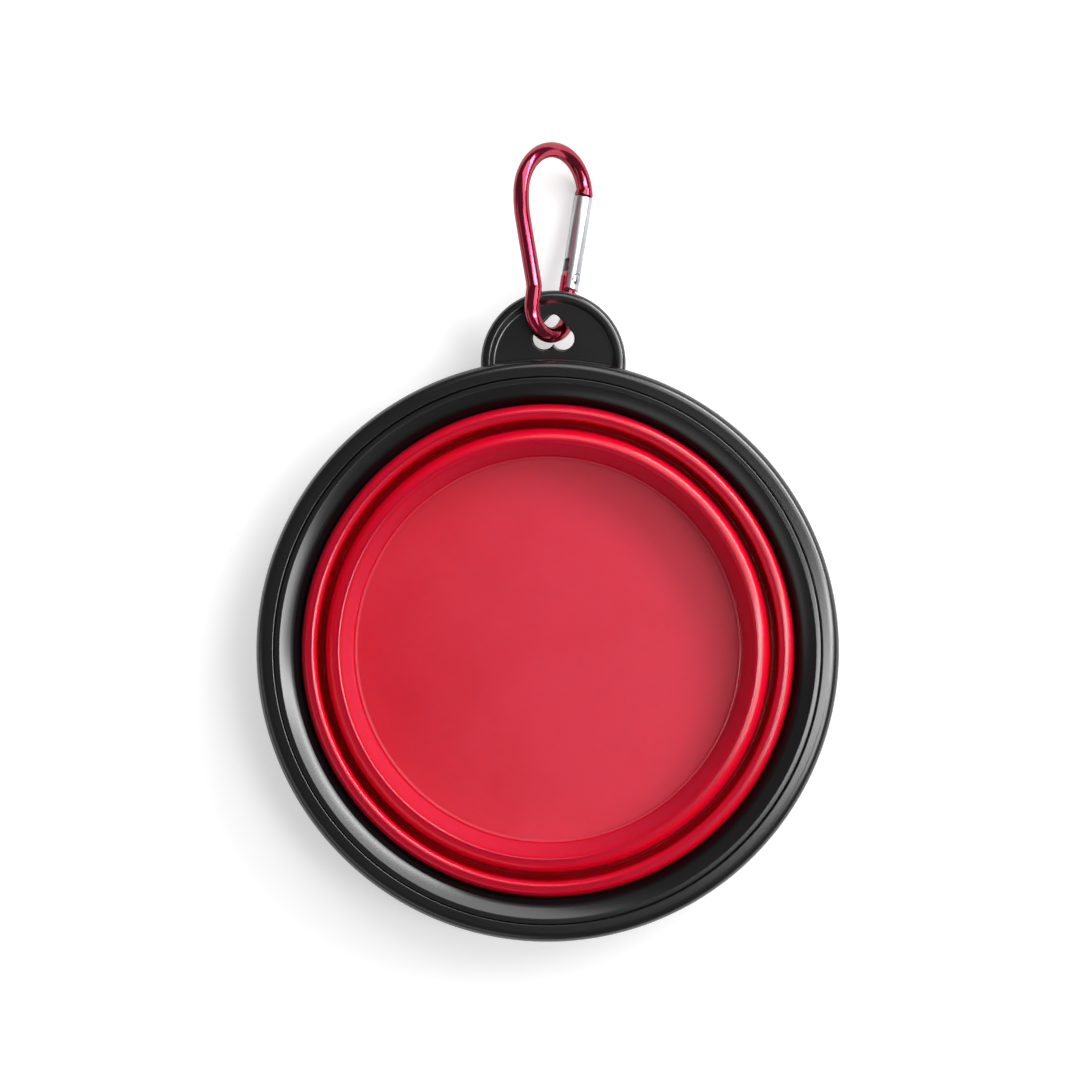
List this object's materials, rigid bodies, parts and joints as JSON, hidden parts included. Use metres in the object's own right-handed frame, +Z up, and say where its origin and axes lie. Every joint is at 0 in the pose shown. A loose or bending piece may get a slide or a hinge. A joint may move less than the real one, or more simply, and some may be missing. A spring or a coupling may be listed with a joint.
{
  "type": "collapsible bowl",
  "caption": "Collapsible silicone travel bowl in a rigid round rim, shown folded flat, with a hang tab and a spring-gate carabiner clip.",
  "frame": {"origin": "middle of the base's underside, on the surface that the folded bowl stands on", "axes": "+Z up out of the bowl's mouth, +Y towards the hang tab and the clip"},
  "size_m": [0.13, 0.1786, 0.0183],
  "materials": {
    "rim_plastic": "satin black moulded plastic",
    "silicone": "matt red silicone",
    "anodised_aluminium": "glossy red anodised",
    "polished_aluminium": "polished",
    "steel": "bright drawn"
  },
  "bodies": {
    "rim": {"rim_frame": "rim_plastic", "retaining_ring": "rim_plastic", "bowl_flange": "silicone", "upper_fold_web": "silicone"},
    "fold_band": {"fold_band": "silicone", "lower_fold_web": "silicone"},
    "base_cup": {"base_cup": "silicone"},
    "carabiner": {"carabiner_body": "anodised_aluminium", "hinge_rivet": "steel"},
    "gate": {"gate": "polished_aluminium", "latch_pin": "steel", "gate_spring": "steel"},
    "plunger": {"spring_plunger": "steel"}
  },
  "joints": [
    {"name": "upper_fold", "type": "slide", "parent": "rim", "child": "fold_band", "axis": [0, 0, -1], "range_m": [0, 0.0192], "deforming": ["upper_fold_web"]},
    {"name": "lower_fold", "type": "slide", "parent": "fold_band", "child": "base_cup", "axis": [0, 0, -1], "range_m": [0, 0.0184], "deforming": ["lower_fold_web"]},
    {"name": "clip_roll", "type": "hinge", "parent": "rim", "child": "carabiner", "pos_m": [0, 0.0704, 0.00865], "axis": [0, 1, 0], "range_deg": [0, 90]},
    {"name": "gate_pivot", "type": "hinge", "parent": "carabiner", "child": "gate", "pos_m": [0.0035, 0.0832, 0.00515], "axis": [0.7071, 0, 0.7071], "range_deg": [0, 24], "stiffness_Nm_per_rad": 0.03, "springref_deg": -20.05},
    {"name": "plunger_slide", "type": "slide", "parent": "gate", "child": "plunger", "axis": [0.1365, 0.9812, -0.1365], "range_m": [0, 0.0007], "deforming": ["gate_spring"]}
  ],
  "couplings": [
    {"joint": "plunger_slide", "follows": "gate_pivot", "m_per_rad": 0.0016}
  ]
}
